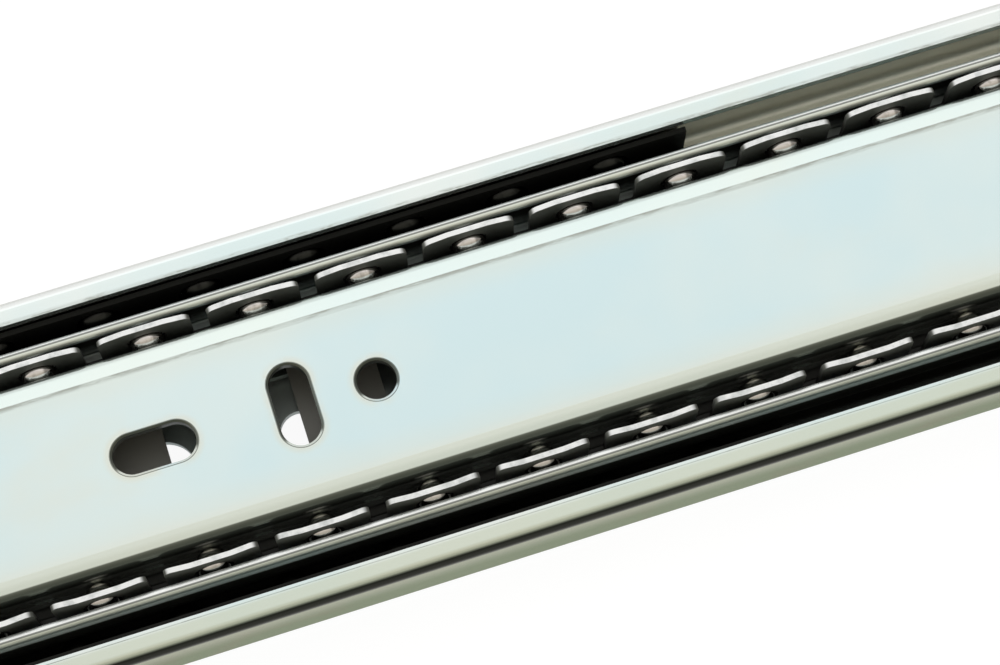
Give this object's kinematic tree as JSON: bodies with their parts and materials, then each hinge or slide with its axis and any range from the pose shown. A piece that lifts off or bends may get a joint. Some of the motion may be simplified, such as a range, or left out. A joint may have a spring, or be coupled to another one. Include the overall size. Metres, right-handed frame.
{
  "type": "cabinet drawer slide",
  "caption": "Full-extension ball-bearing drawer slide: nested cabinet, intermediate and drawer members on caged ball rows, with release lever.",
  "frame": {"origin": "middle of the cabinet member's back face, which lies on z = 0, half way along the slide", "axes": "+X along the slide, the way the drawer opens; +Y across the slide; +Z from the cabinet side panel to the drawer"},
  "size_m": [0.4, 0.045, 0.0127],
  "materials": {
    "zinc_steel": "bright blue-white zinc plate",
    "rivet_steel": "bright zinc plate",
    "black_steel": "satin blackened",
    "ball_steel": "polished",
    "black_nylon": "fine grained",
    "white_nylon": "fine grained",
    "black_rubber": "matte"
  },
  "bodies": {
    "cabinet": {"cabinet_member": "zinc_steel", "closing_catch": "white_nylon", "closing_catch_rivets": "rivet_steel"},
    "outer_cage_body": {"outer_cage": "black_steel", "outer_balls_upper": "ball_steel", "outer_balls_lower": "ball_steel"},
    "intermediate": {"intermediate_member": "zinc_steel", "front_stop": "zinc_steel", "stop_cushion": "black_rubber", "front_stop_rivets": "rivet_steel", "rear_bumper": "black_rubber", "rear_bumper_rivets": "rivet_steel"},
    "inner_cage_body": {"inner_cage": "black_steel", "inner_balls_upper": "ball_steel", "inner_balls_lower": "ball_steel"},
    "drawer": {"drawer_member": "zinc_steel", "lever_pivot_rivet": "rivet_steel", "lever_guide_rivet": "rivet_steel", "catch_stud": "rivet_steel"},
    "lever": {"release_lever": "black_nylon", "lever_spring_arm": "black_nylon"}
  },
  "joints": [
    {"name": "intermediate_slide", "type": "slide", "parent": "cabinet", "child": "intermediate", "axis": [1, 0, 0], "range_m": [0, 0.195]},
    {"name": "outer_cage_slide", "type": "slide", "parent": "cabinet", "child": "outer_cage_body", "axis": [1, 0, 0], "range_m": [0, 0.0975]},
    {"name": "drawer_slide", "type": "slide", "parent": "intermediate", "child": "drawer", "axis": [1, 0, 0], "range_m": [0, 0.195]},
    {"name": "inner_cage_slide", "type": "slide", "parent": "intermediate", "child": "inner_cage_body", "axis": [1, 0, 0], "range_m": [0, 0.0975]},
    {"name": "lever_pivot", "type": "hinge", "parent": "drawer", "child": "lever", "pos_m": [0.041, 0.0039, 0.0096], "axis": [0, 0, -1], "range_deg": [0, 4.5], "stiffness_Nm_per_rad": 0.05, "springref_deg": -5.73, "deforming": ["lever_spring_arm"]}
  ],
  "couplings": [
    {"joint": "outer_cage_slide", "follows": "intermediate_slide", "ratio": 0.5},
    {"joint": "inner_cage_slide", "follows": "drawer_slide", "ratio": 0.5}
  ]
}
